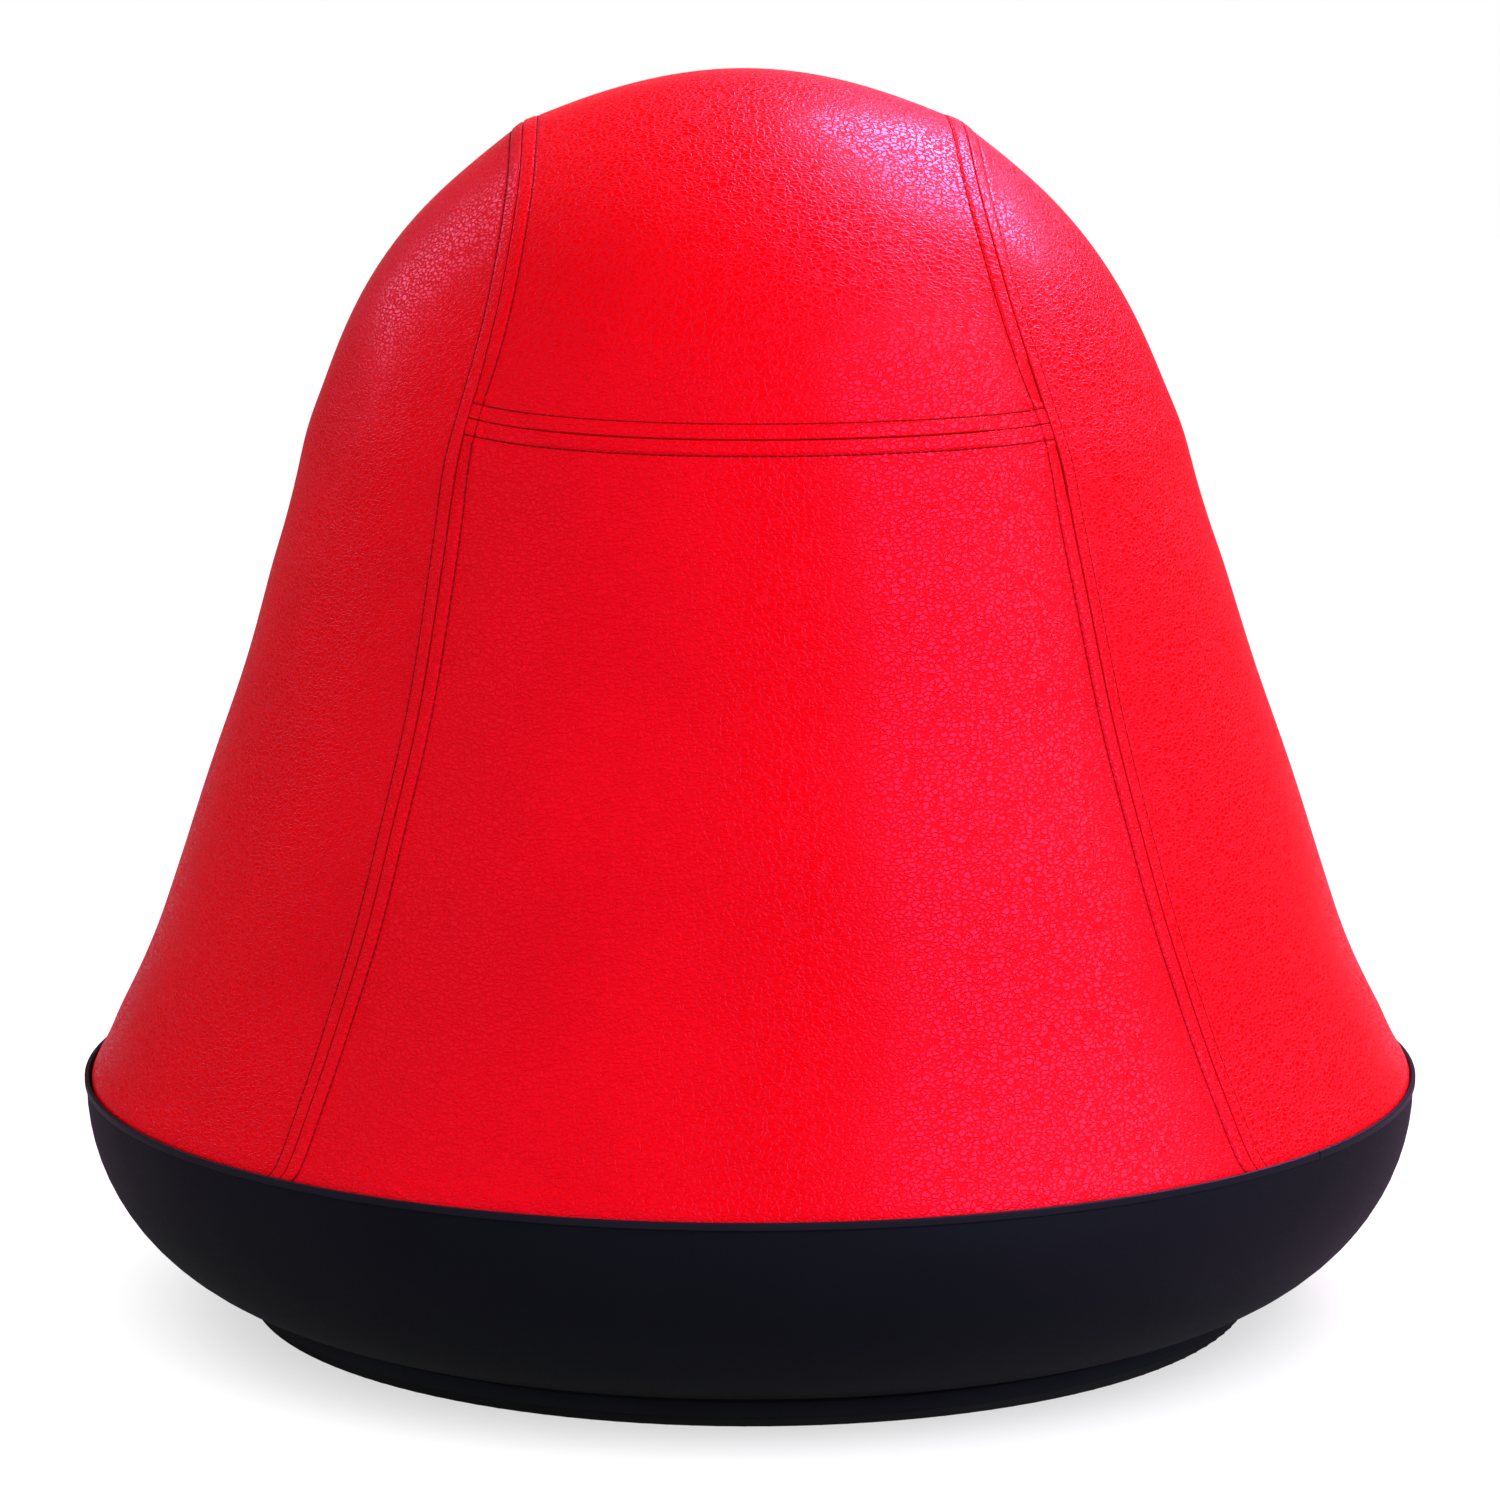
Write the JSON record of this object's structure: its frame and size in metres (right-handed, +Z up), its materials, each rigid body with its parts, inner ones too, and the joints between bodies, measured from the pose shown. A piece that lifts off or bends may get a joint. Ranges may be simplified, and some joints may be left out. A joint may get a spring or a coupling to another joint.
{
  "type": "swivel stool",
  "caption": "Bell-shaped leatherette stool over an air-filled ball, held in a round plastic bowl that swivels on a low foot with a rubber ring.",
  "frame": {"origin": "middle of the foot's underside, on the floor", "axes": "+Z up along the swivel axis; the cover's front panel faces -Y; +X to the right seen from the front"},
  "size_m": [0.554, 0.554, 0.508],
  "materials": {
    "cover_leatherette": "pebble-grained red leatherette, satin",
    "lining_foam": "grey polyurethane foam sheet",
    "hem_plastic": "extruded black polypropylene",
    "ball_vinyl": "grey vinyl, satin",
    "plug_plastic": "moulded white plastic",
    "bowl_plastic": "black moulded polypropylene with a fine matt grain",
    "trim_plastic": "black extruded edging, smooth satin",
    "foot_plastic": "black moulded plastic",
    "floor_rubber": "black rubber, matt",
    "race_steel": "zinc-plated pressed steel",
    "bearing_steel": "polished steel",
    "cage_nylon": "natural nylon",
    "fastener_steel": "zinc-plated steel",
    "bush_acetal": "white acetal"
  },
  "bodies": {
    "foot": {"foot_base": "foot_plastic", "floor_ring": "floor_rubber", "lower_race": "race_steel", "lower_race_screws": "fastener_steel", "pivot_bolt": "fastener_steel", "thrust_washer": "fastener_steel", "pivot_nut": "fastener_steel"},
    "ball_ring": {"bearing_balls": "bearing_steel", "bearing_cage": "cage_nylon"},
    "seat": {"top_panel": "cover_leatherette", "front_panel": "cover_leatherette", "back_panel": "cover_leatherette", "left_panel": "cover_leatherette", "right_panel": "cover_leatherette", "lining_foam": "lining_foam", "hem_strip": "hem_plastic", "exercise_ball": "ball_vinyl", "ball_plug": "plug_plastic", "bowl": "bowl_plastic", "rim_trim": "trim_plastic", "ball_cradle": "foot_plastic", "cradle_screws": "fastener_steel", "upper_race": "race_steel", "upper_race_screws": "fastener_steel", "pivot_bush": "bush_acetal"}
  },
  "joints": [
    {"name": "seat_swivel", "type": "hinge", "parent": "foot", "child": "seat", "pos_m": [0, 0, 0.0145], "axis": [0, 0, 1], "continuous": true},
    {"name": "cage_roll", "type": "hinge", "parent": "foot", "child": "ball_ring", "pos_m": [0, 0, 0.0145], "axis": [0, 0, 1], "continuous": true}
  ],
  "couplings": [
    {"joint": "cage_roll", "follows": "seat_swivel", "ratio": 0.5}
  ]
}
